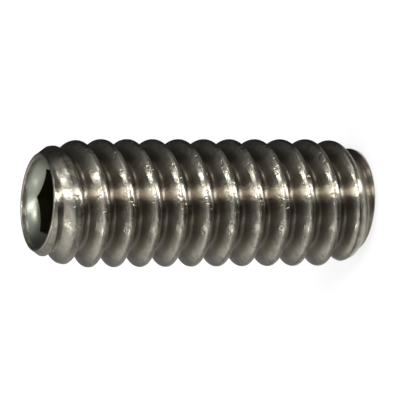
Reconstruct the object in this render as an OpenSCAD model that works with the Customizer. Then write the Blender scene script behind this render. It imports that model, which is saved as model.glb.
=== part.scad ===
// Cup point socket set screw (grub screw), 10-24 UNC x 1/2 in, stainless steel.
//
// The screw stands on its point with the hexagon socket uppermost. The origin
// is the middle of the point's face, and +Z runs up the screw's axis to the
// lip of the socket. All sizes are in millimetres.
//
// The outside is one helical surface: a V profile that is carried round the
// axis and climbs one pitch a turn. Its grooves start shallow at both ends, and
// the bar's tapered ends leave wide flat tops on the ridges there. The lip leans a
// little, as a cropped bar's end does. The socket, its dished mouth and the cup are
// cut into it.

/* [Screw] */
// Length from the point to the highest part of the lip
screw_l = 13.24; // [9:0.01:20]
// Diameter over the crests of the thread
major_d = 4.83; // [4.6:0.01:5.2]

/* [Thread] */
// Climb of the thread in one turn, 24 turns to the inch
pitch = 1.0583; // [0.95:0.0001:1.25]
// Angle between the two flanks of a groove
flank_angle = 60; // [50:1:64]
// Depth of a full groove below the crests
thread_depth = 0.65; // [0.5:0.01:0.7]
// Width of the rounded top of a ridge
crest_w = 0.1; // [0.04:0.01:0.16]
// Height of the rounding across the top of a ridge, and across a groove's root
rounding = 0.03; // [0.01:0.005:0.05]
// Distance from the top of the screw down to the first crest, on the +X side
first_crest = 0.61; // [0:0.01:1.2]

/* [Socket end] */
// Diameter of the lip round the socket's mouth
lip_d = 3.66; // [3.6:0.01:3.9]
// Angle by which the lip is out of square
lip_lean = 4.1; // [0:0.1:5]
// Side on which the lip is highest, in degrees from the +X side
lean_turn = 225; // [0:1:359]
// Angle between the outside of the lip and the screw's axis
lip_flare = 24; // [15:1:50]
// Diameter of the bar's taper at the top of the screw
taper_d = 3.98; // [3.9:0.01:4.4]
// Distance from the top of the screw down to the first full ridge
socket_lead = 1.7; // [1:0.05:2.5]
// Width of the narrow land on top of the lip
lip_w = 0.08; // [0.04:0.01:0.12]

/* [Hexagon socket] */
// Distance across the flats, for a 3/32 in key
hex_af = 2.38; // [2:0.01:2.5]
// Depth of the six flats below the middle of the lip
hex_depth = 3.2; // [2:0.1:4]
// Turn of the hexagon's corners from the +X side, in degrees
hex_turn = 20; // [0:1:60]
// Diameter of the countersunk dish that leads a key in
dish_d = 3.38; // [3:0.01:3.42]
// Depth of the dish's rim below the lip
dish_drop = 0.16; // [0.1:0.01:0.4]
// Angle across the dish
dish_angle = 105; // [90:1:130]

/* [Point] */
// Diameter of the point's face
point_d = 4; // [3.8:0.01:4.1]
// Distance from the point up to the first full ridge
point_lead = 1.04; // [0.4:0.01:1.5]
// Diameter of the cup in the point's face
cup_d = 3.2; // [2.4:0.05:3.4]
// Angle across the cup, and across the bottom of the socket
drill_angle = 118; // [90:1:130]

/* [Thread ends] */
// Diameter at the root of the groove where it runs out at the lip
runout_d = 3.76; // [3.6:0.01:3.9]
// Diameter at the root of the groove where it runs out at the point
point_runout_d = 3.56; // [3.5:0.01:3.8]
// Length over which the groove deepens from either end
runout_l = 1; // [0.5:0.05:2]

/* [Smoothness] */
// Straight sides in one turn of the thread
turn_sides = 48; // [24:4:56]

/* [Hidden] */
$fn = 96;

major_r = major_d / 2;
root_r = major_r - thread_depth;
hex_r = hex_af / 2 / cos(30);          // centre to corner of the hexagon
lip_rise = lip_d / 2 * tan(lip_lean);  // highest part of the lip over its middle
lip_z = screw_l - lip_rise;            // height of the middle of the lip
cut = 1;                               // how far a cutting tool runs past a face
clear = 0.1;                           // how far the bar's outline stays off the crests

// Height of the dish and of the two drilled cones, from radius and angle
function cone_h(r, angle) = r / tan(angle / 2);

// ---- Thread profile ----
// One pitch of the outline, from the lower edge of a ridge's top. Each point is
// [distance along the axis from the crest, share of the ridge's height, rounding].
flank_run = (thread_depth - 2 * rounding) * tan(flank_angle / 2);
groove_edge = crest_w / 2 + flank_run;
PROFILE = [
    [-crest_w / 2, 1, -rounding],
    [0, 1, 0],
    [crest_w / 2, 1, -rounding],
    [groove_edge, 0, rounding],
    [pitch / 2, 0, 0],
    [pitch - groove_edge, 0, rounding],
];
profile_n = len(PROFILE);

// ---- Ends of the thread ----
// The lip leans, so its height depends on the side of the screw
function lip_height(angle) = lip_z + lip_rise * cos(angle - lean_turn);
function groove_end_r(h, end_d) = lookup(h, [[0, end_d / 2], [runout_l, root_r]]);

// Radius at the root of the groove at height z, on the side at this angle: full
// depth between two run-outs
function groove_r(z, angle) = max(groove_end_r(z, point_runout_d), groove_end_r(lip_height(angle) - z, runout_d));

// Distance from an end to where its taper, which starts at radius r, has passed the
// crests by the clearance
function taper_end(r, lead) = lead + clear * lead / (major_r - r);

// ---- Helix ----
// The helix starts under the point and ends above the lip, a whole turn past each
crest_z0 = screw_l - first_crest;      // height of one crest on the +X side
turns_down = ceil(crest_z0 / pitch) + 1;
turns_up = ceil(first_crest / pitch) + 1;
start_z = crest_z0 - turns_down * pitch;
side_n = turn_sides * (turns_down + turns_up);

// Point j of the profile after i sides of the helix
function helix_point(i, j) =
    let (
        angle = 360 * i / turn_sides,
        z = start_z + pitch * i / turn_sides + PROFILE[j][0],
        low = groove_r(z, angle),
        r = low + (major_r - low) * PROFILE[j][1] + PROFILE[j][2]
    )
    [r * cos(angle), r * sin(angle), z];

// Number of point j after i sides; the point after a profile's last is the
// first one of the next turn up
function id(i, j) = j < profile_n ? i * profile_n + j : (i + turn_sides) * profile_n;

helix_points = [
    for (i = [0:side_n]) for (j = [0:profile_n - 1]) helix_point(i, j),
    [0, 0, start_z - pitch],
    [0, 0, start_z + pitch * (side_n / turn_sides + 1)],
];
foot = (side_n + 1) * profile_n;       // the two points on the axis that close it
top = foot + 1;
last = side_n - turn_sides;            // where the topmost turn begins

// Two triangles for each side and each strip of the profile
helix_skin = [
    for (i = [0:side_n - 1]) for (j = [0:profile_n - 1])
        if (j < profile_n - 1 || i < last)
            let (a = id(i, j), b = id(i + 1, j), c = id(i + 1, j + 1), d = id(i, j + 1))
            each [[a, c, b], [a, d, c]],
];

// Fans from the axis close the foot and the top, each over one turn and the
// upright step where that turn begins or ends
helix_foot = [
    for (i = [0:turn_sides - 1]) [foot, id(i, 0), id(i + 1, 0)],
    for (j = [0:profile_n - 1]) [foot, id(0, j + 1), id(0, j)],
];
helix_top = [
    for (i = [last:side_n - 1]) [top, id(i + 1, profile_n - 1), id(i, profile_n - 1)],
    for (j = [0:profile_n - 2]) [top, id(side_n, j), id(side_n, j + 1)],
    [top, id(last, profile_n - 1), id(side_n, 0)],
];

// Threaded bar, longer than the screw at both ends
module threaded_bar() {
    polyhedron(points = helix_points, faces = concat(helix_skin, helix_foot, helix_top), convexity = 10);
}

// Bar that the thread is rolled on, with a taper at both ends
module tapered_bar() {
    full_r = major_r + clear;
    rotate_extrude()
        polygon([
            [0, 0],
            [point_d / 2, 0],
            [full_r, taper_end(point_d / 2, point_lead)],
            [full_r, screw_l - taper_end(taper_d / 2, socket_lead)],
            [taper_d / 2, screw_l],
            [0, screw_l],
        ]);
}

// ---- Cuts ----
// Lip with its flared outside, its steep inside wall and the dish below it, as one
// turned cut that leans and also crops the bar
module socket_end() {
    rim_r = lip_d / 2 - lip_w;
    dish_r = dish_d / 2;
    translate([0, 0, lip_z])
        rotate([0, -lip_lean, lean_turn])
            rotate_extrude()
                polygon([
                    [rim_r, 0],
                    [dish_r, -dish_drop],
                    [0, -dish_drop - cone_h(dish_r, dish_angle)],
                    [0, 2 * cut],
                    [major_d, 2 * cut],
                    [major_d, -(major_d - lip_d / 2) / tan(lip_flare)],
                    [lip_d / 2, 0],
                ]);
}

// Six flats with a drilled cone at their foot
module hex_socket() {
    translate([0, 0, lip_z - hex_depth]) {
        rotate([0, 0, hex_turn])
            cylinder(h = hex_depth + cut, r = hex_r, $fn = 6);
        floor_h = cone_h(hex_af / 2, drill_angle);
        translate([0, 0, -floor_h])
            cylinder(h = floor_h, r1 = 0, r2 = hex_af / 2);
    }
}

// Cone in the point's face, whose edge bites the shaft that the screw holds
module point_cup() {
    cylinder(h = cone_h(cup_d / 2, drill_angle), r1 = cup_d / 2, r2 = 0);
}

// ---- Screw ----
module set_screw() {
    color("#8f8b84")
        difference() {
            intersection() {
                threaded_bar();
                tapered_bar();
            }
            socket_end();
            hex_socket();
            point_cup();
        }
}

set_screw();
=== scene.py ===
"""Finish and stage for a cup point socket set screw in stainless steel.

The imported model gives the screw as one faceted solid. This script stands a finer
skin for it, with the same form: the rolled thread with round crests and roots, the
lip and dish of the socket, the hexagon, and the cup point. Then it dresses the skin
and sets the floor, the lamps and the camera.

Sizes are in millimetres until a mesh is written, which is in metres, as the model is.
"""

import logging
import math
from dataclasses import dataclass, field
from enum import Enum

import bpy
import numpy as np
from mathutils import Matrix, Vector


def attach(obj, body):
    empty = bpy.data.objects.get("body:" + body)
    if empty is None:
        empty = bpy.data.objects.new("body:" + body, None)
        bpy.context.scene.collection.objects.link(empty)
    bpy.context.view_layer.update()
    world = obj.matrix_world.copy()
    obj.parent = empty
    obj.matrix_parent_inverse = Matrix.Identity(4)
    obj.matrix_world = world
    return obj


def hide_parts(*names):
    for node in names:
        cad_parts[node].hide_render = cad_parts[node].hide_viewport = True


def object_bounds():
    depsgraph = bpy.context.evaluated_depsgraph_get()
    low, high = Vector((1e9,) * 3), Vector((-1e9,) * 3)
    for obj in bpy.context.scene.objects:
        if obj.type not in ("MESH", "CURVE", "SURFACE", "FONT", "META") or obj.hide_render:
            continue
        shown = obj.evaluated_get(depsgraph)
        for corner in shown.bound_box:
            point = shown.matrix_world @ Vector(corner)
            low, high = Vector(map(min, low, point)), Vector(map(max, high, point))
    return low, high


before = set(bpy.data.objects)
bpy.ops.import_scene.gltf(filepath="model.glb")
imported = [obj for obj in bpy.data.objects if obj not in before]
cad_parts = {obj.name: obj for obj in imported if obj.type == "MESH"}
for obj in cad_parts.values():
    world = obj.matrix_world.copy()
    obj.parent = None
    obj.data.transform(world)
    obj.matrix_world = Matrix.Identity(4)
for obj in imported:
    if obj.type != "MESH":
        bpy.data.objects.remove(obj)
CAD_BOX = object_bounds()

logging.basicConfig(level=logging.INFO, format="%(levelname)s %(message)s")
LOG = logging.getLogger("set_screw")

MM = 0.001  # metres in a millimetre
ZONE_SLACK = 0.3  # how near its zone's number a place has to be to count as inside
QUARTER_TURN = 0.25
SCREW_NODE = "set_screw"
ROOT_BODY = "root"

Tree = bpy.types.NodeTree
Socket = bpy.types.NodeSocket
Pair = tuple[float, float]
Stops = tuple[Pair, ...]


# ---- Choices and small helpers ----


class Hand(Enum):
    """Which way the thread climbs, seen from above."""

    RIGHT = 1
    LEFT = -1


class Zone(Enum):
    """Parts of the skin that are finished in their own way."""

    SOCKET = 0
    DISH = 1
    LIP = 2
    THREAD = 3
    POINT = 4


def linear_from_hex(code: str) -> tuple[float, float, float, float]:
    """Turn an sRGB hex colour into linear RGBA.

    Args:
        code: Colour such as "#8f8b84".

    Returns:
        Linear red, green and blue, and an alpha of 1.
    """
    srgb = [int(code[i : i + 2], 16) / 255 for i in (1, 3, 5)]
    linear = [c / 12.92 if c <= 0.04045 else ((c + 0.055) / 1.055) ** 2.4 for c in srgb]
    return (*linear, 1.0)


def direction_to(azimuth: float, elevation: float) -> Vector:
    """Point away from the screw.

    Args:
        azimuth: Degrees round the axis, from the camera's side towards +X.
        elevation: Degrees above the floor.

    Returns:
        The unit vector.
    """
    turn, rise = math.radians(azimuth), math.radians(elevation)
    return Vector((math.sin(turn) * math.cos(rise), -math.cos(turn) * math.cos(rise), math.sin(rise)))


def add_object(name: str, data: bpy.types.ID) -> bpy.types.Object:
    """Add an object to the scene.

    Args:
        name: Its name.
        data: Its mesh, lamp or camera.

    Returns:
        The object.
    """
    thing = bpy.data.objects.new(name, data)
    bpy.context.scene.collection.objects.link(thing)
    return thing


# ---- The skin: rings and strips on shared columns ----


@dataclass
class Skin:
    """A closed surface round the Z axis, built ring by ring on the same columns.

    Point number i of a ring lies at angle `angles[i]`. Strips join neighbouring
    rings; a ring on the axis is one point, and triangles that it flattens are left
    out when the mesh is made.
    """

    angles: np.ndarray
    points: list[np.ndarray] = field(default_factory=list)
    zones: list[np.ndarray] = field(default_factory=list)
    faces: list[np.ndarray] = field(default_factory=list)
    count: int = 0

    def add(self, radius: np.ndarray, height: np.ndarray, angle: np.ndarray, zone: Zone) -> np.ndarray:
        """Add points given in cylinder coordinates.

        Args:
            radius: Distance from the axis.
            height: Height above the point's face.
            angle: Angle about the axis, in radians.
            zone: The part of the skin that they belong to.

        Returns:
            The new points' numbers, in the shape of the arrays.
        """
        radius, height, angle = np.broadcast_arrays(radius, height, angle)
        xyz = np.stack([radius * np.cos(angle), radius * np.sin(angle), height], axis=-1)
        numbers = self.count + np.arange(radius.size).reshape(radius.shape)
        self.points.append(xyz.reshape(-1, 3))
        self.zones.append(np.full(radius.size, zone.value))
        self.count += radius.size
        return numbers

    def ring(self, radius: np.ndarray | float, height: np.ndarray | float, zone: Zone) -> np.ndarray:
        """Add one ring, with its radius and height at each column."""
        size = self.angles.shape
        return self.add(np.broadcast_to(radius, size), np.broadcast_to(height, size), self.angles, zone)

    def pole(self, height: float, zone: Zone) -> np.ndarray:
        """Add a point on the axis, given as a ring that repeats its number."""
        number = self.add(np.zeros(1), np.array([height]), np.zeros(1), zone)
        return np.repeat(number, self.angles.size)

    def extend(self, last: np.ndarray, radius: np.ndarray | float, height: np.ndarray | float,
               zone: Zone) -> np.ndarray:
        """Add one ring and join it to the last one.

        Args:
            last: Numbers of the last ring.
            radius: Radius at each column.
            height: Height at each column.
            zone: The part of the skin that it belongs to.

        Returns:
            Numbers of the new ring.
        """
        ring = self.ring(radius, height, zone)
        self.strip(last, ring)
        return ring

    def strip(self, first: np.ndarray, second: np.ndarray) -> None:
        """Join two rings with quads that face outwards when second follows first.

        Rings run from the socket's floor up its wall, over the lip, down the outside
        and into the cup.
        """
        self.quads(first, second, np.roll(second, -1), np.roll(first, -1))

    def quads(self, a: np.ndarray, b: np.ndarray, c: np.ndarray, d: np.ndarray) -> None:
        """Add quads a-b-c-d as pairs of triangles."""
        self.faces.append(np.stack([a, b, c], axis=-1).reshape(-1, 3))
        self.faces.append(np.stack([a, c, d], axis=-1).reshape(-1, 3))

    def mesh(self, name: str) -> bpy.types.Mesh:
        """Write the surface as a Blender mesh in metres.

        Args:
            name: The mesh's name.

        Returns:
            The mesh, with its zone as a point attribute. The socket and its dish
            take the second material.
        """
        faces = np.concatenate(self.faces)
        faces = faces[(faces != np.roll(faces, 1, axis=1)).all(axis=1)]
        used, faces = np.unique(faces, return_inverse=True)
        faces = faces.reshape(-1, 3)
        points = np.concatenate(self.points)[used] * MM
        zones = np.concatenate(self.zones)[used]
        machined = np.isin(zones, (Zone.SOCKET.value, Zone.DISH.value))[faces].all(axis=1)

        mesh = bpy.data.meshes.new(name)
        mesh.vertices.add(len(points))
        mesh.vertices.foreach_set("co", points.astype(np.float32).ravel())
        mesh.loops.add(faces.size)
        mesh.loops.foreach_set("vertex_index", faces.astype(np.int32).ravel())
        mesh.polygons.add(len(faces))
        mesh.polygons.foreach_set("loop_start", np.arange(0, faces.size, 3, dtype=np.int32))
        mesh.polygons.foreach_set("loop_total", np.full(len(faces), 3, dtype=np.int32))
        mesh.polygons.foreach_set("material_index", machined.astype(np.int32))
        mesh.update(calc_edges=True)
        attribute = mesh.attributes.new("zone", "FLOAT", "POINT")
        attribute.data.foreach_set("value", zones.astype(np.float32))
        mesh.validate()
        return mesh


# ---- The screw's own forms ----


@dataclass(frozen=True)
class ThreadForm:
    """A 60 degree rolled thread with round crests and roots, on a tapered bar.

    The side of a ridge that faces the socket has the rounder shoulder. The lip that
    the thread runs up to leans: it is highest at `lean_turn`. Its outside flares
    away from the axis and sits a little to the +X side.
    """

    length: float
    major_r: float
    hand: Hand = Hand.RIGHT
    pitch: float = 25.4 / 24
    depth: float = 0.65
    flank_angle: float = 60.0
    # width of the flat on a crest
    crest_land: float = 0.14
    # radii of a ridge's shoulders, towards the socket and towards the point
    upper_round: float = 0.15
    lower_round: float = 0.07
    root_round: float = 0.13
    # from the top of the screw down to the first crest, on the +X side
    first_crest: float = 0.59
    lip_r: float = 1.83
    lip_lean: float = math.radians(4.1)
    lean_turn: float = math.radians(225.0)
    lip_offset: float = 0.04
    lip_flare: float = math.radians(34.0)
    # radius of the bar at each end, and the length over which it grows to full
    taper_r: float = 1.99
    socket_lead: float = 1.7
    point_r: float = 2.0
    point_lead: float = 1.04
    # how far the bar's outline stays off the full crests
    bar_clearance: float = 0.1
    # width of the rounding where the bar's outline cuts a ridge off
    edge_round: float = 0.18
    # radius of the groove's root at the lip and at the point, and how long it deepens
    runout_r: float = 1.88
    point_runout_r: float = 1.84
    runout_l: float = 1.0
    # points on a rounded corner, which a flank has too, and the least step off a crest
    corner_points: int = 5
    least_step: float = 0.005
    settle_rounds: int = 4

    @property
    def slope(self) -> float:
        """Rise of a flank's radius for each millimetre along the axis."""
        return 1.0 / math.tan(math.radians(self.flank_angle / 2))

    @property
    def lean(self) -> float:
        """Angle between a flank and the axis, in radians."""
        return math.radians(90 - self.flank_angle / 2)

    @property
    def crest_start(self) -> float:
        """Height of the topmost crest line on the +X side."""
        return self.length - self.first_crest

    @property
    def climb(self) -> float:
        """Rise of a crest line for each radian about the axis."""
        return self.hand.value * self.pitch / (2 * math.pi)

    @property
    def corners(self) -> Pair:
        """Distances from the crest line to the sharp corners of land and root."""
        land = self.crest_land / 2
        return land, land + self.depth / self.slope

    def crest_height(self, angle: np.ndarray) -> np.ndarray:
        """Height at which the topmost crest line passes an angle."""
        return self.crest_start + self.climb * angle

    def lip_height(self, radius: np.ndarray | float, angle: np.ndarray | float) -> np.ndarray:
        """Height of the leaning plane of the lip, whose top is the screw's top."""
        lean = math.tan(self.lip_lean)
        return self.length - self.lip_r * lean + radius * lean * np.cos(angle - self.lean_turn)

    def side_drop(self, gap: np.ndarray, crest_round: float) -> np.ndarray:
        """Drop below the crest on one side of a ridge.

        The outline is a flat land, a straight flank and a flat root. Arcs of radius
        crest_round and root_round, tangent to both sides, soften its corners. An arc
        of radius R drops R - sqrt(R^2 - x^2) at a distance x from where it starts.

        Args:
            gap: Distance along the axis from the crest line, in millimetres.
            crest_round: Radius of the shoulder on this side.

        Returns:
            The drop, in millimetres.
        """
        lean = self.lean
        top, bottom = self.corners
        drop = np.clip(self.slope * (gap - top), 0.0, self.depth)
        past = gap - (top - crest_round * math.tan(lean / 2))
        crest = crest_round - np.sqrt(np.maximum(crest_round**2 - past**2, 0.0))
        drop = np.where((past > 0) & (past < crest_round * math.sin(lean)), crest, drop)
        back = bottom + self.root_round * math.tan(lean / 2) - gap
        root = self.depth - self.root_round + np.sqrt(np.maximum(self.root_round**2 - back**2, 0.0))
        return np.where((back > 0) & (back < self.root_round * math.sin(lean)), root, drop)

    def share(self, offset: np.ndarray) -> np.ndarray:
        """Share of the ridge's height at a distance along the axis from its crest.

        Args:
            offset: Signed distance from any crest, in millimetres, up being positive.

        Returns:
            1 on the crest and 0 at the root.
        """
        signed = (offset + self.pitch / 2) % self.pitch - self.pitch / 2
        gap = np.abs(signed)
        upper, lower = self.side_drop(gap, self.upper_round), self.side_drop(gap, self.lower_round)
        return 1.0 - np.where(signed > 0, upper, lower) / self.depth

    def bar_r(self, height: np.ndarray, angle: np.ndarray) -> np.ndarray:
        """Radius of the tapered bar, which cuts the ridges off flat near both ends.

        It is the least of the straight tapers at the point, the socket and the lip,
        and of a cylinder that clears the crests.

        Args:
            height: Height above the point's face.
            angle: Angle about the axis, in radians.

        Returns:
            The radius.
        """
        point = self.point_r + (self.major_r - self.point_r) * height / self.point_lead
        below_top, below_lip = self.length - height, self.lip_height(self.lip_r, angle) - height
        socket = self.taper_r + (self.major_r - self.taper_r) * below_top / self.socket_lead
        lip = self.lip_r + self.lip_offset * np.cos(angle) + below_lip * math.tan(self.lip_flare)
        return np.minimum(np.minimum(point, socket), np.minimum(lip, self.major_r + self.bar_clearance))

    def groove_r(self, height: np.ndarray, angle: np.ndarray) -> np.ndarray:
        """Radius at the groove's root, which shallows in a straight line to both ends.

        Args:
            height: Height above the point's face.
            angle: Angle about the axis, in radians.

        Returns:
            The radius.
        """
        full, below_lip = self.major_r - self.depth, self.lip_height(self.lip_r, angle) - height
        point = np.interp(height, [0.0, self.runout_l], [self.point_runout_r, full])
        return np.maximum(point, np.interp(below_lip, [0.0, self.runout_l], [self.runout_r, full]))

    def radius(self, height: np.ndarray, angle: np.ndarray) -> np.ndarray:
        """Radius of the outside at a height and an angle.

        It is the smaller of the thread's radius t and the bar's radius b, with the
        edge between them rounded over a width w: with h = (b - t + w) / 2w held to
        0..1, the radius is b (1 - h) + t h - w h (1 - h).

        Args:
            height: Height above the point's face.
            angle: Angle about the axis, in radians.

        Returns:
            The radius.
        """
        offset = height - self.crest_height(angle)
        low, bar, soft = self.groove_r(height, angle), self.bar_r(height, angle), self.edge_round
        thread = low + (self.major_r - low) * self.share(offset)
        held = np.clip((bar - thread + soft) / (2 * soft), 0.0, 1.0)
        return bar * (1 - held) + thread * held - soft * held * (1 - held)

    def lip_outer_r(self, angle: np.ndarray) -> np.ndarray:
        """Radius at which the leaning plane of the lip cuts the outside.

        Args:
            angle: Angle about the axis, in radians.

        Returns:
            The radius, which a few rounds between the plane and the outside settle.
        """
        radius = self.lip_r
        for _ in range(self.settle_rounds):
            radius = self.radius(self.lip_height(radius, angle), angle)
        return radius

    def half_steps(self, crest_round: float) -> np.ndarray:
        """Distances from a crest at which one side of its ridge is sampled.

        Args:
            crest_round: Radius of the shoulder on this side.

        Returns:
            The crest, even turns round the shoulder, even steps down the flank, even
            turns round the root, and the middle of the groove.
        """
        lean = self.lean
        top, bottom = self.corners
        arc = np.linspace(0.0, lean, self.corner_points)
        crest = top + crest_round * (np.sin(arc) - math.tan(lean / 2))
        root = bottom + self.root_round * (math.tan(lean / 2) - np.sin(arc[::-1]))
        flank = np.linspace(crest[-1], root[0], self.corner_points)[1:-1]
        return np.concatenate([[0.0], crest[crest > self.least_step], flank, root, [self.pitch / 2]])

    def steps(self) -> np.ndarray:
        """Distances below a crest at which one pitch of the outline is sampled."""
        lower, upper = self.half_steps(self.lower_round), self.half_steps(self.upper_round)
        return np.concatenate([lower, self.pitch - upper[-2:0:-1]])


@dataclass(frozen=True)
class SocketForm:
    """Lip, dish and hexagon socket in the upper end."""

    across_flats: float = 2.38
    corner_round: float = 0.10
    depth: float = 3.2
    turn: float = math.radians(20.0)
    dish_r: float = 1.69
    # the dish's rim below the lip, and how far its cone is hollowed
    dish_drop: float = 0.16
    dish_angle: float = 89.0
    dish_sag: float = 0.025
    drill_angle: float = 118.0
    # the whole rim, the least flat on top of it, and the round on either side of that
    rim_width: float = 0.08
    lip_land: float = 0.02
    lip_round: float = 0.04
    # share of the round by which the flat stays in from the outside
    land_setback: float = 0.6

    def hexagon_r(self, angle: np.ndarray) -> np.ndarray:
        """Radius of the hexagon's wall, with a small round in each corner.

        A flat lies at apothem / cos(angle from its middle). A corner's round is a
        circle that is tangent to both flats, seen from the axis.

        Args:
            angle: Angle about the axis, in radians.

        Returns:
            The radius.
        """
        apothem = self.across_flats / 2
        sector = math.pi / 3
        from_corner = np.abs((angle - self.turn + sector / 2) % sector - sector / 2)
        flat = apothem / np.cos(sector / 2 - from_corner)
        centre = (apothem - self.corner_round) / math.cos(sector / 2)
        inside = np.maximum(self.corner_round**2 - (centre * np.sin(from_corner)) ** 2, 0.0)
        arc = centre * np.cos(from_corner) + np.sqrt(inside)
        tangent = math.atan2(self.corner_round / 2, centre + self.corner_round * math.cos(sector / 2))
        return np.where(from_corner < tangent, arc, flat)

    def dish_depth(self, radius: np.ndarray) -> np.ndarray:
        """Depth of the dish below the lip at a distance from the axis.

        It is a cone with a slight hollow, 4 sag s (1 - s), where s runs from 0 at the
        rim to 1 at the hexagon's corners.

        Args:
            radius: Distance from the axis.

        Returns:
            The depth.
        """
        inward = self.dish_r - radius
        share = inward / (self.dish_r - self.across_flats / math.sqrt(3))
        hollow = 4 * self.dish_sag * share * (1 - share)
        return self.dish_drop + inward / math.tan(math.radians(self.dish_angle / 2)) + hollow


@dataclass(frozen=True)
class PointForm:
    """Cup in the lower end, with a narrow face round it."""

    cup_r: float = 1.6
    drill_angle: float = 118.0
    edge_round: float = 0.05


@dataclass
class SetScrew:
    """The whole screw as one closed skin."""

    thread: ThreadForm
    socket: SocketForm
    point: PointForm
    columns: int = 240
    # rings on the drilled floor and in the cup, as shares of their radius
    floor_rings: tuple[float, ...] = (0.35, 0.7, 1.0)
    cup_rings: tuple[float, ...] = (1.0, 0.66, 0.33)
    # rings on the hexagon's wall, the dish, the lip's inside wall and each round
    wall_rings: int = 13
    dish_rings: int = 9
    lip_rings: int = 5
    lip_round_rings: int = 6
    point_round_rings: int = 5
    # a row nearer than this to an end of the thread joins the ring there
    snap: float = 0.004
    # edges that turn by more than this many degrees stay sharp
    sharp_angle: float = 38.0

    def build(self) -> bpy.types.Object:
        """Build the skin from the socket's floor, over the lip and down to the cup.

        Returns:
            The screw's object, in place.
        """
        skin = Skin(self.socket.turn + np.arange(self.columns) * 2 * math.pi / self.columns)
        last = self._socket_rings(skin)
        last = self._lip_rings(skin, last)
        last = self._thread_rows(skin, last)
        self._point_rings(skin, last)
        mesh = skin.mesh("screw_skin")
        mesh.shade_smooth()
        mesh.set_sharp_from_angle(angle=math.radians(self.sharp_angle))
        piece = add_object("screw_skin", mesh)
        LOG.info("%s: %d triangles", piece.name, len(mesh.polygons))
        return piece

    def _socket_rings(self, skin: Skin) -> np.ndarray:
        """Drilled floor, hexagon wall and dish, as rings up to the dish's rim.

        Args:
            skin: The skin to add to.

        Returns:
            Numbers of the last ring.
        """
        form, lip = self.socket, self.thread.lip_height
        flat_z = float(lip(0.0, 0.0)) - form.depth
        wall_r = form.hexagon_r(skin.angles)
        inner_r = form.across_flats / 2
        cone = math.tan(math.radians(form.drill_angle / 2))
        last = skin.pole(flat_z - inner_r / cone, Zone.SOCKET)
        for share in self.floor_rings:
            radius = inner_r * share
            last = skin.extend(last, radius, flat_z - (inner_r - radius) / cone, Zone.SOCKET)
        mouth_z = lip(wall_r, skin.angles) - form.dish_depth(wall_r)
        for share in np.linspace(0.0, 1.0, self.wall_rings):
            last = skin.extend(last, wall_r, flat_z + (mouth_z - flat_z) * share, Zone.SOCKET)
        for share in np.linspace(0.0, 1.0, self.dish_rings)[1:]:
            radius = wall_r + (form.dish_r - wall_r) * share
            last = skin.extend(last, radius, lip(radius, skin.angles) - form.dish_depth(radius), Zone.DISH)
        return last

    def _lip_rings(self, skin: Skin, last: np.ndarray) -> np.ndarray:
        """Steep inside wall, rounded land and outer round of the lip.

        Args:
            skin: The skin to add to.
            last: Numbers of the ring on the dish's rim.

        Returns:
            Numbers of the last ring, where the thread starts.
        """
        form, thread = self.socket, self.thread
        soft, angles = form.lip_round, skin.angles
        outer_r = thread.lip_outer_r(angles)
        top = thread.lip_height(outer_r, angles)
        side_r = thread.radius(top - soft, angles)
        land_out = outer_r - soft * form.land_setback
        land_in = np.minimum(land_out - form.lip_land, thread.lip_r - form.rim_width)
        # inside wall from the dish's rim to where the round starts, then the round
        rim_z = thread.lip_height(form.dish_r, angles) - form.dish_drop
        for share in np.linspace(0.0, 1.0, self.lip_rings)[1:-1]:
            radius = form.dish_r + (land_in - soft - form.dish_r) * share
            last = skin.extend(last, radius, rim_z + (top - soft - rim_z) * share, Zone.LIP)
        arc = np.linspace(0.0, math.pi / 2, self.lip_round_rings)
        for turn in arc:
            radius = land_in - soft * math.cos(turn)
            last = skin.extend(last, radius, top - soft + soft * math.sin(turn), Zone.LIP)
        # outer round, from the land to the side that the thread starts from
        for turn in arc:
            radius = land_out + (side_r - land_out) * math.sin(turn)
            last = skin.extend(last, radius, top - soft + soft * math.cos(turn), Zone.LIP)
        return last

    def _thread_rows(self, skin: Skin, top_ring: np.ndarray) -> np.ndarray:
        """Threaded outside, as rows that follow the helix.

        Row m keeps its distance below the crest line, so ridges and grooves lie along
        the mesh. Where a row would pass an end of the thread, it ends in the ring
        there. Once round, a row meets the row one pitch further on.

        Args:
            skin: The skin to add to.
            top_ring: Numbers of the ring at the upper end of the thread.

        Returns:
            Numbers of the ring at the lower end.
        """
        form = self.thread
        high = form.lip_height(form.lip_outer_r(skin.angles), skin.angles) - self.socket.lip_round
        low = self.point.edge_round
        steps = form.steps()
        per_turn = len(steps)
        crest = form.crest_height(skin.angles)
        first = math.floor((crest.min() - high.max()) / form.pitch) - 1
        final = math.ceil((crest.max() + form.pitch - low) / form.pitch) + 1
        below = (np.arange(first, final)[:, None] * form.pitch + steps[None, :]).ravel()
        height = crest[None, :] - below[:, None]
        above, under = height > high - self.snap, height < low + self.snap
        height = np.clip(height, low, high)
        angle = np.broadcast_to(skin.angles[None, :], height.shape)
        numbers = skin.add(form.radius(height, angle), height, angle, Zone.THREAD)
        side_r = form.radius(np.full(skin.angles.shape, low), skin.angles)
        bottom_ring = skin.ring(side_r, low, Zone.THREAD)
        numbers = np.where(above, top_ring[None, :], numbers)
        numbers = np.where(under, bottom_ring[None, :], numbers)
        skin.quads(numbers[:-1, :-1], numbers[1:, :-1], numbers[1:, 1:], numbers[:-1, 1:])
        # the closing column meets the first one a turn later
        rows, final_row = np.arange(-per_turn, len(below) + per_turn), len(below) - 1
        last_column = numbers[np.clip(rows, 0, final_row), -1]
        next_column = numbers[np.clip(rows - form.hand.value * per_turn, 0, final_row), 0]
        skin.quads(last_column[:-1], last_column[1:], next_column[1:], next_column[:-1])
        return bottom_ring

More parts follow.
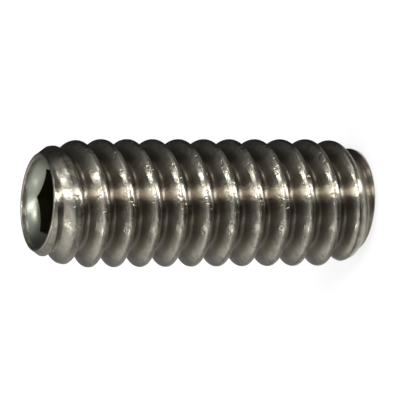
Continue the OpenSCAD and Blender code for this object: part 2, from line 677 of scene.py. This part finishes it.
    def _point_rings(self, skin: Skin, last: np.ndarray) -> None:
        """Round edge, narrow face and cup of the point.

        Args:
            skin: The skin to add to.
            last: Numbers of the ring at the lower end of the thread.
        """
        form = self.point
        soft, angles = form.edge_round, skin.angles
        face_r = self.thread.radius(np.full(angles.shape, soft), angles) - soft
        for turn in np.linspace(0.0, math.pi / 2, self.point_round_rings)[1:]:
            last = skin.extend(last, face_r + soft * math.cos(turn), soft * (1 - math.sin(turn)), Zone.POINT)
        cone = math.tan(math.radians(form.drill_angle / 2))
        for share in self.cup_rings:
            last = skin.extend(last, form.cup_r * share, form.cup_r * (1 - share) / cone, Zone.POINT)
        skin.strip(last, skin.pole(form.cup_r / cone, Zone.POINT))


# ---- Shader nodes ----


def empty_tree(owner: bpy.types.Material | bpy.types.World) -> Tree:
    """Give a material or a world an empty node tree.

    Args:
        owner: The material or world.

    Returns:
        The node tree.
    """
    owner.use_nodes = True
    owner.node_tree.nodes.clear()
    return owner.node_tree


def add_node(tree: Tree, kind: str, links: dict | None = None, **settings) -> bpy.types.Node:
    """Add one shader node.

    Args:
        tree: The node tree.
        kind: The node's type, such as "ShaderNodeTexNoise".
        links: For each input's name or number, a value or the output that feeds it.
        settings: Properties to set on the node.

    Returns:
        The node.
    """
    node = tree.nodes.new(kind)
    for name, value in settings.items():
        setattr(node, name, value)
    for key, value in (links or {}).items():
        if isinstance(value, Socket):
            tree.links.new(value, node.inputs[key])
        else:
            node.inputs[key].default_value = value
    return node


def maths(tree: Tree, operation: str, *values: Socket | float, clamp: bool = False) -> Socket:
    """Work out one number from up to three others."""
    node = add_node(tree, "ShaderNodeMath", dict(enumerate(values)), operation=operation, use_clamp=clamp)
    return node.outputs[0]


def remap(tree: Tree, value: Socket, span: Pair, onto: Pair = (0.0, 1.0), smooth: bool = False) -> Socket:
    """Map one span of a value onto another, and hold it there beyond the ends.

    Args:
        tree: The node tree.
        value: The value.
        span: The values that give the two ends.
        onto: What they give.
        smooth: Whether the slope levels off towards the ends.

    Returns:
        The mapped value.
    """
    links = {"Value": value, "From Min": span[0], "From Max": span[1], "To Min": onto[0], "To Max": onto[1]}
    kind = "SMOOTHSTEP" if smooth else "LINEAR"
    return add_node(tree, "ShaderNodeMapRange", links, interpolation_type=kind).outputs[0]


def blend(tree: Tree, factor: Socket | float, first: Socket | tuple, second: Socket | tuple,
          kind: str = "MIX") -> Socket:
    """Blend two colours in one of the node's ways, such as "MULTIPLY"."""
    node = add_node(tree, "ShaderNodeMix", {"Factor": factor, 6: first, 7: second},
                    data_type="RGBA", blend_type=kind)
    return node.outputs[2]


def noise(tree: Tree, place: Socket, scale: float, detail: float, roughness: float = 0.5,
          fourth: Socket | None = None) -> Socket:
    """Add soft noise over a place.

    Args:
        tree: The node tree.
        place: The place, in millimetres.
        scale: Lumps of the noise for each millimetre.
        detail: How many finer layers it has.
        roughness: How strong these are.
        fourth: A fourth coordinate to run over, if any.

    Returns:
        The noise, from 0 to 1.
    """
    links = {"Vector": place, "Scale": scale, "Detail": detail, "Roughness": roughness}
    if fourth is None:
        return add_node(tree, "ShaderNodeTexNoise", links).outputs[0]
    return add_node(tree, "ShaderNodeTexNoise", {**links, "W": fourth}, noise_dimensions="4D").outputs[0]


def bump(tree: Tree, height: Socket, depth: float, under: Socket | None = None) -> Socket:
    """Bend the normal as a relief would.

    Args:
        tree: The node tree.
        height: The relief, from 0 to 1.
        depth: What its whole height stands for, in millimetres.
        under: A normal that is bent already, if any.

    Returns:
        The bent normal.
    """
    links = {"Strength": 1.0, "Distance": depth * MM, "Height": height}
    if under is not None:
        links["Normal"] = under
    return add_node(tree, "ShaderNodeBump", links).outputs[0]


def place_in_mm(tree: Tree) -> Socket:
    """Give the place on the object in millimetres."""
    place = {0: add_node(tree, "ShaderNodeTexCoord").outputs["Object"], "Scale": 1 / MM}
    return add_node(tree, "ShaderNodeVectorMath", place, operation="SCALE").outputs["Vector"]


def in_zone(tree: Tree, kept: Zone, share: Socket | float) -> Socket:
    """Keep a share in one zone of the skin and clear it elsewhere."""
    zone = add_node(tree, "ShaderNodeAttribute", attribute_name="zone").outputs["Fac"]
    return maths(tree, "MULTIPLY", maths(tree, "COMPARE", zone, float(kept.value), ZONE_SLACK), share)


# ---- Finishes ----


@dataclass(frozen=True)
class RolledStainless:
    """18-8 stainless steel as thread rolling leaves it.

    The metal is bright but never mirror smooth. Rolling leaves fine marks along the
    thread, which draw each reflection out along the screw. A dull brown painted shade
    lies at the foot of each upper flank, in the groove. Handling leaves stains, and a
    surface that is a little lumpy, so that reflections break up into small blobs.
    """

    thread: ThreadForm
    name: str = "rolled_stainless_steel"
    # warm grey metal, the dull brown painted shade in each groove, olive stain and the near black rolling
    # seam
    bright: str = "#a8a398"
    groove_shade: str = "#7f766a"
    stain: str = "#77735c"
    seam: str = "#2a2620"
    roughness: float = 0.30
    groove_shade_roughness: float = 0.34
    # how far the marks round the screw spread a reflection along it
    grain: float = 0.85
    # stains for each millimetre, where they start and are full, and how strong
    stain_scale: float = 3.0
    stain_span: Pair = (0.45, 0.70)
    stain_strength: float = 0.7
    # the painted groove shade's middle above a crest line, the part of its wave that shows, and the
    # length over which it fades out towards the lip
    groove_shade_offset: float = 0.42
    groove_shade_span: Pair = (0.3, 0.95)
    groove_shade_fade: float = 1.4
    groove_shade_least: float = 0.1
    # the seam's line above a crest, its width, and the patches in which it shows
    seam_offset: float = 0.08
    seam_width: float = 0.03
    seam_scale: float = 0.9
    seam_span: Pair = (0.44, 0.60)
    seam_strength: float = 0.5
    # marks for each millimetre across and along the thread, and their depth
    mark_scale: float = 16.0
    mark_length_scale: float = 0.8
    mark_depth: float = 0.004
    # lumps, deeper than real ones, so that they show at this size
    lump_scale: float = 3.2
    lump_depth: float = 0.012
    # dents and the part of a ridge, measured from its crest, that catches them
    nick_scale: float = 6.0
    nick_span: Pair = (0.58, 0.72)
    nick_reach: Pair = (0.30, 0.05)
    nick_depth: float = 0.007

    def material(self) -> bpy.types.Material:
        """Build the material.

        Returns:
            The material.
        """
        material = bpy.data.materials.new(self.name)
        tree = empty_tree(material)
        place = place_in_mm(tree)
        offset = self.crest_offset(tree, place)
        groove_shade = self.groove_shade_share(tree, place, offset)
        patches = noise(tree, place, self.stain_scale, detail=6.0, roughness=0.7)
        stain = remap(tree, patches, self.stain_span, (0.0, self.stain_strength))
        colour = blend(tree, stain, linear_from_hex(self.bright), linear_from_hex(self.stain))
        # painted shade: the foot of each upper flank and the root beside it are coloured dull brown
        colour = blend(tree, groove_shade, colour, linear_from_hex(self.groove_shade))
        colour = blend(tree, self.seam_share(tree, place, offset), colour, linear_from_hex(self.seam))
        dull = remap(tree, groove_shade, (0.0, 1.0), (self.roughness, self.groove_shade_roughness))
        # marks run round the screw, so they spread a reflection along the axis
        around = add_node(tree, "ShaderNodeTangent", direction_type="RADIAL", axis="Z")
        steel = add_node(tree, "ShaderNodeBsdfPrincipled",
                         {"Base Color": colour, "Metallic": 1.0, "Roughness": dull,
                          "Anisotropic": self.grain, "Anisotropic Rotation": QUARTER_TURN,
                          "Tangent": around.outputs[0], "Normal": self.relief(tree, place, offset)})
        add_node(tree, "ShaderNodeOutputMaterial", {"Surface": steel.outputs[0]})
        return material

    def crest_offset(self, tree: Tree, place: Socket) -> Socket:
        """Distance above the nearest crest line, in millimetres.

        The crest line climbs with the angle about the axis, so the distance is
        z - start - climb * angle, wrapped to one pitch.

        Args:
            tree: The node tree.
            place: The place on the screw, in millimetres.

        Returns:
            The distance, which is below 0 under the line.
        """
        part = add_node(tree, "ShaderNodeSeparateXYZ", {"Vector": place})
        angle = maths(tree, "ARCTAN2", part.outputs["Y"], part.outputs["X"])
        fall = maths(tree, "MULTIPLY_ADD", angle, -self.thread.climb, part.outputs["Z"])
        above = maths(tree, "SUBTRACT", fall, self.thread.crest_start)
        return maths(tree, "WRAP", above, self.thread.pitch / 2, -self.thread.pitch / 2)

    def groove_shade_share(self, tree: Tree, place: Socket, offset: Socket) -> Socket:
        """Share of the painted groove shade, a smooth hump once a pitch: cos(turn (offset - middle) / pitch).

        Args:
            tree: The node tree.
            place: The place on the screw, in millimetres.
            offset: Its distance above the nearest crest line.

        Returns:
            The share, on the thread alone.
        """
        turn = 2 * math.pi / self.thread.pitch
        phase = maths(tree, "MULTIPLY_ADD", offset, turn, -self.groove_shade_offset * turn)
        share = remap(tree, maths(tree, "COSINE", phase), self.groove_shade_span, smooth=True)
        part = add_node(tree, "ShaderNodeSeparateXYZ", {"Vector": place})
        start = self.thread.crest_start
        fade = remap(tree, part.outputs["Z"], (start, start - self.groove_shade_fade), (self.groove_shade_least, 1.0))
        return in_zone(tree, Zone.THREAD, maths(tree, "MULTIPLY", share, fade))

    def seam_share(self, tree: Tree, place: Socket, offset: Socket) -> Socket:
        """Share of the dark seam that rolling leaves beside a crest, here and there.

        Args:
            tree: The node tree.
            place: The place on the screw, in millimetres.
            offset: Its distance above the nearest crest line.

        Returns:
            The share, on the thread alone.
        """
        away = maths(tree, "ABSOLUTE", maths(tree, "SUBTRACT", offset, self.seam_offset))
        line = remap(tree, away, (self.seam_width, 0.0), smooth=True)
        patch = noise(tree, place, self.seam_scale, detail=1.0)
        some = remap(tree, patch, self.seam_span, (0.0, self.seam_strength))
        return in_zone(tree, Zone.THREAD, maths(tree, "MULTIPLY", line, some))

    def relief(self, tree: Tree, place: Socket, offset: Socket) -> Socket:
        """Bend the normal over lumps, over fine marks along the thread, and over dents.

        The marks are noise in four dimensions: slow over the place, and quick over
        the distance from the crest.

        Args:
            tree: The node tree.
            place: The place on the screw, in millimetres.
            offset: Its distance above the nearest crest line.

        Returns:
            The bent normal.
        """
        across = maths(tree, "MULTIPLY", offset, self.mark_scale)
        marks = noise(tree, place, self.mark_length_scale, detail=2.0, fourth=across)
        lumps = noise(tree, place, self.lump_scale, detail=3.0, roughness=0.6)
        normal = bump(tree, lumps, self.lump_depth)
        normal = bump(tree, marks, self.mark_depth, under=normal)
        return bump(tree, self.nicks(tree, place, offset), self.nick_depth, under=normal)

    def nicks(self, tree: Tree, place: Socket, offset: Socket) -> Socket:
        """Height of the small dents that the crests catch when screws lie together.

        Args:
            tree: The node tree.
            place: The place on the screw, in millimetres.
            offset: Its distance above the nearest crest line.

        Returns:
            The height, which is lower in a dent.
        """
        spots = noise(tree, place, self.nick_scale, detail=0.0)
        dents = remap(tree, spots, self.nick_span, (1.0, 0.0), smooth=True)
        crest = remap(tree, maths(tree, "ABSOLUTE", offset), self.nick_reach, smooth=True)
        return maths(tree, "MULTIPLY", dents, crest)


@dataclass(frozen=True)
class MachinedStainless:
    """18-8 stainless steel as the drill and the broach leave it in the socket.

    It has no grain to spread a reflection, so the dish shows soft round blobs of
    light. The hexagon's wall and drilled floor are a darker brown: painted shade of the deep socket.
    """

    name: str = "machined_stainless_steel"
    # greenish grey metal, and the brown painted shade on the hexagon's wall and drilled floor
    bright: str = "#83867b"
    socket_shade: str = "#6b6450"
    roughness: float = 0.34
    # shallow lumps for each millimetre, and their depth
    lump_scale: float = 4.0
    lump_depth: float = 0.005

    def material(self) -> bpy.types.Material:
        """Build the material.

        Returns:
            The material.
        """
        material = bpy.data.materials.new(self.name)
        tree = empty_tree(material)
        lumps = noise(tree, place_in_mm(tree), self.lump_scale, detail=3.0)
        socket_shade_share = in_zone(tree, Zone.SOCKET, 1.0)
        # painted shade: the hexagon's wall and drilled floor are coloured darker brown
        colour = blend(tree, socket_shade_share, linear_from_hex(self.bright), linear_from_hex(self.socket_shade))
        steel = add_node(tree, "ShaderNodeBsdfPrincipled",
                         {"Base Color": colour, "Metallic": 1.0, "Roughness": self.roughness,
                          "Normal": bump(tree, lumps, self.lump_depth)})
        add_node(tree, "ShaderNodeOutputMaterial", {"Surface": steel.outputs[0]})
        return material


@dataclass(frozen=True)
class PaleFloor:
    """Plain matt white board under the screw.

    The eye sees it as white by its own light, and the rest of it, which is lit,
    keeps the screw's soft shadow.
    """

    name: str = "white_board"
    colour: str = "#efefef"
    roughness: float = 0.9
    # share of what the camera and the metal see that is the board's own light
    glow: float = 0.8

    def material(self) -> bpy.types.Material:
        """Build the material.

        Returns:
            The material.
        """
        material = bpy.data.materials.new(self.name)
        tree = empty_tree(material)
        board = add_node(tree, "ShaderNodeBsdfPrincipled",
                         {"Base Color": linear_from_hex(self.colour), "Roughness": self.roughness,
                          "Specular IOR Level": 0.0})
        rays = add_node(tree, "ShaderNodeLightPath").outputs
        seen = maths(tree, "ADD", rays["Is Camera Ray"], rays["Is Glossy Ray"])
        seen = maths(tree, "ADD", seen, rays["Is Transmission Ray"], clamp=True)
        share = maths(tree, "MULTIPLY", seen, self.glow)
        white = add_node(tree, "ShaderNodeEmission", {"Strength": 1.0})
        both = add_node(tree, "ShaderNodeMixShader", {0: share, 1: board.outputs[0], 2: white.outputs[0]})
        add_node(tree, "ShaderNodeOutputMaterial", {"Surface": both.outputs[0]})
        return material


@dataclass(frozen=True)
class Surround:
    """What stands round the screw: dark and pale cards with a strip of light.

    The same cards are seen above the horizon, on the world, and below it, on a
    disc that lies on the floor and shows in the metal alone. Brightness is relative
    to white paper. The rise of a direction runs from 0 at the horizon to 1 overhead.
    """

    # azimuth as in direction_to, and brightness; the strip is the bright pair
    panels: Stops = (
        (-90.0, 0.90), (-80.0, 0.72), (-58.0, 0.78), (-47.0, 1.70), (-38.0, 0.80), (-28.0, 0.25),
        (-6.0, 0.10), (11.5, 0.40), (18.5, 7.0), (23.5, 7.0), (29.5, 0.40), (48.0, 0.18),
        (68.0, 0.18), (84.0, 0.40), (99.0, 0.36), (108.0, 0.06), (168.0, 0.04), (180.0, 0.30),
        (195.0, 0.48), (235.0, 0.95), (270.0, 0.90),
    )
    # azimuth, and the share of a card's brightness that the disc keeps
    foot: Stops = (
        (-90.0, 0.3), (-50.0, 0.22), (0.0, 0.2), (9.0, 1.2), (32.0, 1.2), (40.0, 0.6), (250.0, 0.6),
        (270.0, 0.3),
    )
    # rise, and the brightness that the ceiling adds; dark cards stand high, so it
    # adds less over a card whose brightness times the reach is below 1
    ceiling: Stops = ((0.0, 0.0), (0.4, 0.06), (0.7, 0.3), (0.88, 0.3), (1.0, 0.1))
    ceiling_reach: float = 6.0
    # rise, and the share of its brightness that a plain card and the strip have there:
    # both are weak near the horizon, so a ridge's top is darker than its shoulders
    card_rise: Stops = ((0.0, 0.35), (0.2, 0.4), (0.5, 1.0), (1.0, 1.0))
    strip_rise: Stops = ((0.0, 0.4), (0.5, 0.25), (0.8, 0.5), (0.88, 4.5), (1.0, 4.5))
    # brightness at which a plain card starts to count as the strip, and fully does
    strip_span: Pair = (1.8, 3.0)
    # the disc's two radii, its height over the floor and its number of sides
    disc_radii: Pair = (2.6, 380.0)
    disc_lift: float = 0.01
    disc_sides: int = 96

    def ramp(self, tree: Tree, value: Socket, stops: Stops) -> Socket:
        """Give grey levels through stops, of which the first is at 0 and the last at 1.

        Args:
            tree: The node tree.
            value: The value to look up.
            stops: Values and their levels.

        Returns:
            The level as a colour.
        """
        ramp = add_node(tree, "ShaderNodeValToRGB", {"Fac": value})
        elements = ramp.color_ramp.elements
        for place, _ in stops[1:-1]:
            elements.new(place)
        for element, (_, level) in zip(elements, stops):
            element.color = (level, level, level, 1.0)
        return ramp.outputs["Color"]

    def by_azimuth(self, tree: Tree, direction: Socket, stops: Stops) -> Socket:
        """Give grey levels by azimuth: a radial gradient runs from -90 degrees to 270.

        Args:
            tree: The node tree.
            direction: A vector that points away from the axis.
            stops: Azimuths and their levels.

        Returns:
            The level as a colour.
        """
        turn = add_node(tree, "ShaderNodeTexGradient", {"Vector": direction}, gradient_type="RADIAL")
        shares = tuple(((azimuth + 90) / 360, level) for azimuth, level in stops)
        return self.ramp(tree, turn.outputs["Fac"], shares)

    def world(self) -> bpy.types.World:
        """Build the part above the horizon.

        Returns:
            The world.
        """
        world = bpy.data.worlds.new("surround")
        tree = empty_tree(world)
        direction = add_node(tree, "ShaderNodeTexCoord").outputs["Generated"]
        rise = add_node(tree, "ShaderNodeSeparateXYZ", {"Vector": direction}).outputs["Z"]
        cards = self.by_azimuth(tree, direction, self.panels)
        reach = maths(tree, "MULTIPLY", cards, self.ceiling_reach, clamp=True)
        ceiling = blend(tree, 1.0, self.ramp(tree, rise, self.ceiling), reach, "MULTIPLY")
        plain = blend(tree, 1.0, cards, self.ramp(tree, rise, self.card_rise), "MULTIPLY")
        strip = blend(tree, 1.0, cards, self.ramp(tree, rise, self.strip_rise), "MULTIPLY")
        sides = blend(tree, remap(tree, cards, self.strip_span), plain, strip)
        back = add_node(tree, "ShaderNodeBackground", {"Color": blend(tree, 1.0, sides, ceiling, "ADD")})
        add_node(tree, "ShaderNodeOutputWorld", {"Surface": back.outputs[0]})
        return world

    def material(self) -> bpy.types.Material:
        """Build the part below the horizon.

        Returns:
            The material of the disc.
        """
        material = bpy.data.materials.new("surround_cards")
        tree = empty_tree(material)
        direction = add_node(tree, "ShaderNodeTexCoord").outputs["Object"]
        cards = self.by_azimuth(tree, direction, self.panels)
        shares = self.by_azimuth(tree, direction, self.foot)
        glow = add_node(tree, "ShaderNodeEmission", {"Color": blend(tree, 1.0, cards, shares, "MULTIPLY")})
        add_node(tree, "ShaderNodeOutputMaterial", {"Surface": glow.outputs[0]})
        return material

    def disc(self, floor_z: float) -> bpy.types.Object:
        """Lay the cards round the screw's foot, where only the metal shows them.

        The disc is a flat ring, with corners at r cos(a), r sin(a) for its two radii r.

        Args:
            floor_z: Height of the floor, in metres.

        Returns:
            The disc.
        """
        sides = np.arange(self.disc_sides)
        angle = sides * 2 * math.pi / self.disc_sides
        height = np.full(self.disc_sides, floor_z + self.disc_lift * MM)
        rings = [np.stack([r * MM * np.cos(angle), r * MM * np.sin(angle), height], axis=-1)
                 for r in self.disc_radii]
        outer = sides + self.disc_sides
        faces = np.stack([sides, outer, np.roll(outer, -1), np.roll(sides, -1)], axis=-1)
        mesh = bpy.data.meshes.new("cards")
        mesh.from_pydata(np.concatenate(rings).tolist(), [], faces.tolist())
        mesh.materials.append(self.material())
        cards = add_object("cards", mesh)
        cards.visible_camera = cards.visible_diffuse = cards.visible_shadow = False
        cards.visible_transmission = cards.visible_volume_scatter = False
        return cards


# ---- Stage ----


@dataclass(frozen=True)
class Lamp:
    """An area lamp that looks at the screw, hung in the direction given."""

    name: str
    azimuth: float
    elevation: float
    width: float
    height: float
    # relative to white paper
    radiance: float
    mirrored: bool = True
    distance: float = 300.0

    def hang(self, centre: Vector) -> bpy.types.Object:
        """Hang the lamp.

        Args:
            centre: Where it looks, in metres.

        Returns:
            The lamp.
        """
        data = bpy.data.lights.new(self.name, "AREA")
        data.shape = "RECTANGLE"
        data.size, data.size_y = self.width * MM, self.height * MM
        data.energy = self.radiance * math.pi * data.size * data.size_y
        lamp = add_object(self.name, data)
        back = direction_to(self.azimuth, self.elevation)
        lamp.location = centre + back * self.distance * MM
        lamp.rotation_euler = back.to_track_quat("Z", "Y").to_euler()
        lamp.visible_glossy = self.mirrored
        return lamp


@dataclass
class Studio:
    """Floor, lamps, world and camera round the standing screw."""

    low: Vector
    high: Vector
    lamps: tuple[Lamp, ...] = (
        # small and strong, for the short highlights on the ridges' upper shoulders
        Lamp("key", 82.0, 69.5, 16.0, 22.0, 135.0),
        # the same from the far side, for the row of patches below the strip
        Lamp("fill", -90.0, 57.5, 12.0, 12.0, 100.0),
        # wide and soft, for the grey round the highlights
        Lamp("side", 64.0, 30.0, 60.0, 80.0, 6.0),
        # plain light on the floor, which the metal doesn't mirror
        Lamp("overhead", 0.0, 90.0, 400.0, 400.0, 1.2, mirrored=False),
    )
    floor_half: float = 400.0
    # how far the camera looks down on the socket, and its turn about its own axis
    elevation: float = 24.5
    roll: float = 0.184
    camera_distance: float = 260.0
    # offset of the picture's middle from the screw's
    aim_right: float = 0.177
    aim_up: float = 0.108
    focal: float = 620.2
    sensor: float = 36.0
    clip_near: float = 5.0
    clip_far: float = 10000.0

    @property
    def centre(self) -> Vector:
        """Middle of the screw, in metres."""
        return (self.low + self.high) / 2

    def build(self) -> None:
        """Set the floor, the surround, the lamps and the camera."""
        self.floor()
        surround = Surround()
        surround.disc(self.low.z)
        bpy.context.scene.world = surround.world()
        for lamp in self.lamps:
            lamp.hang(self.centre)
        self.camera()
        bpy.context.scene.view_settings.view_transform = "Standard"
        LOG.info("stage: floor, cards, %d lamps and camera", len(self.lamps))

    def floor(self) -> bpy.types.Object:
        """Lay the floor under the point's face.

        Returns:
            The floor.
        """
        half, height = self.floor_half * MM, self.low.z
        corners = [(-half, -half, height), (half, -half, height), (half, half, height), (-half, half, height)]
        mesh = bpy.data.meshes.new("floor")
        mesh.from_pydata(corners, [], [(0, 1, 2, 3)])
        mesh.materials.append(PaleFloor().material())
        floor = add_object("floor", mesh)
        return floor

    def camera(self) -> bpy.types.Object:
        """Stand the camera in front of the screw and turn it on its side.

        The camera looks down on the socket by `elevation`. Its right side points down
        the screw, so that the standing screw lies across the picture.

        Returns:
            The camera.
        """
        data = bpy.data.cameras.new("camera")
        data.lens, data.sensor_width = self.focal, self.sensor
        data.clip_start, data.clip_end = self.clip_near * MM, self.clip_far * MM
        camera = add_object("camera", data)
        tilt, roll = math.radians(self.elevation), math.radians(self.roll)
        back = Vector((0.0, -math.cos(tilt), math.sin(tilt)))
        along = Vector((0.0, -math.sin(tilt), -math.cos(tilt)))
        across = Vector((1.0, 0.0, 0.0))
        right = along * math.cos(roll) - across * math.sin(roll)
        up = along * math.sin(roll) + across * math.cos(roll)
        pose = Matrix((right, up, back)).transposed().to_4x4()
        aim = right * self.aim_right + up * self.aim_up + back * self.camera_distance
        pose.translation = self.centre + aim * MM
        camera.matrix_world = pose
        bpy.context.scene.camera = camera
        return camera


def main() -> None:
    """Build the screw and its stage."""
    low, high = CAD_BOX
    length, major_r = (high.z - low.z) / MM, (high.x - low.x) / 2 / MM
    thread = ThreadForm(length, major_r)
    piece = SetScrew(thread, SocketForm(), PointForm()).build()
    piece.data.materials.append(RolledStainless(thread).material())
    piece.data.materials.append(MachinedStainless().material())
    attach(piece, ROOT_BODY)
    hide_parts(SCREW_NODE)
    Studio(low, high).build()


if __name__ == "__main__":
    main()
